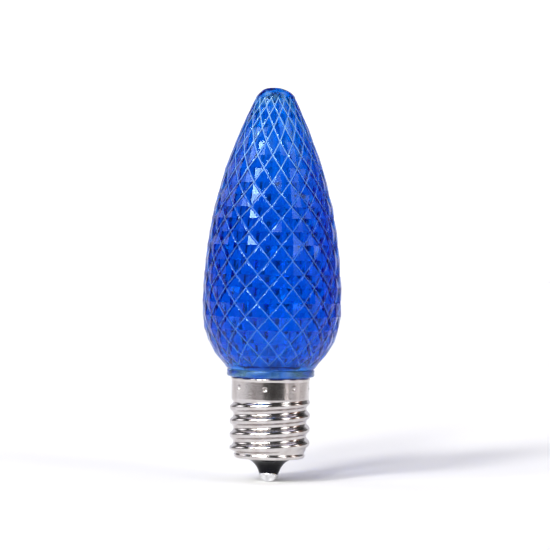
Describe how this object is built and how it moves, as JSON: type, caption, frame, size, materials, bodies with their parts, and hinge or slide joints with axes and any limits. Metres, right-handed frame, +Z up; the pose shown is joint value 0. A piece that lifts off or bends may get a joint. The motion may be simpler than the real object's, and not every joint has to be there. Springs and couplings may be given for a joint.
{
  "type": "christmas light bulb",
  "caption": "Cone-shaped LED lamp with a transparent blue lens of raised diamond facets on a nickel-plated intermediate screw cap.",
  "frame": {"origin": "lowest point of the centre contact, on the lamp's axis", "axes": "+Z up the axis from the centre contact to the tip of the lens; -Y towards the viewer of the front view, +X to that viewer's right"},
  "size_m": [0.0284, 0.0286, 0.0808],
  "materials": {
    "lens_blue": "transparent blue moulded plastic, glossy facets with fine rounded grooves between them",
    "nickel": "bright nickel plating on thin rolled sheet, faintly pitted and streaked",
    "insulator_black": "glossy black moulded insulator",
    "contact_brass": "plain stamped brass",
    "solder": "bright hand-soldered tin, lumpy",
    "holder_white": "white moulded plastic",
    "board_white": "white solder mask on glass-fibre board",
    "led_package": "clear cast resin with a slight milky cast",
    "component_black": "black moulded package with tinned legs",
    "resistor_dark": "dark glazed chip resistor",
    "lead_copper": "plain copper wire"
  },
  "bodies": {
    "root": {"lens": "lens_blue", "screw_shell": "nickel", "base_insulator": "insulator_black", "centre_contact": "contact_brass", "contact_solder": "solder", "board_holder": "holder_white", "circuit_board": "board_white", "led_centre": "led_package", "led_1": "led_package", "led_2": "led_package", "led_3": "led_package", "led_4": "led_package", "bridge_rectifier": "component_black", "resistor_1": "resistor_dark", "resistor_2": "resistor_dark", "centre_lead": "lead_copper", "shell_lead": "lead_copper"}
  },
  "joints": []
}
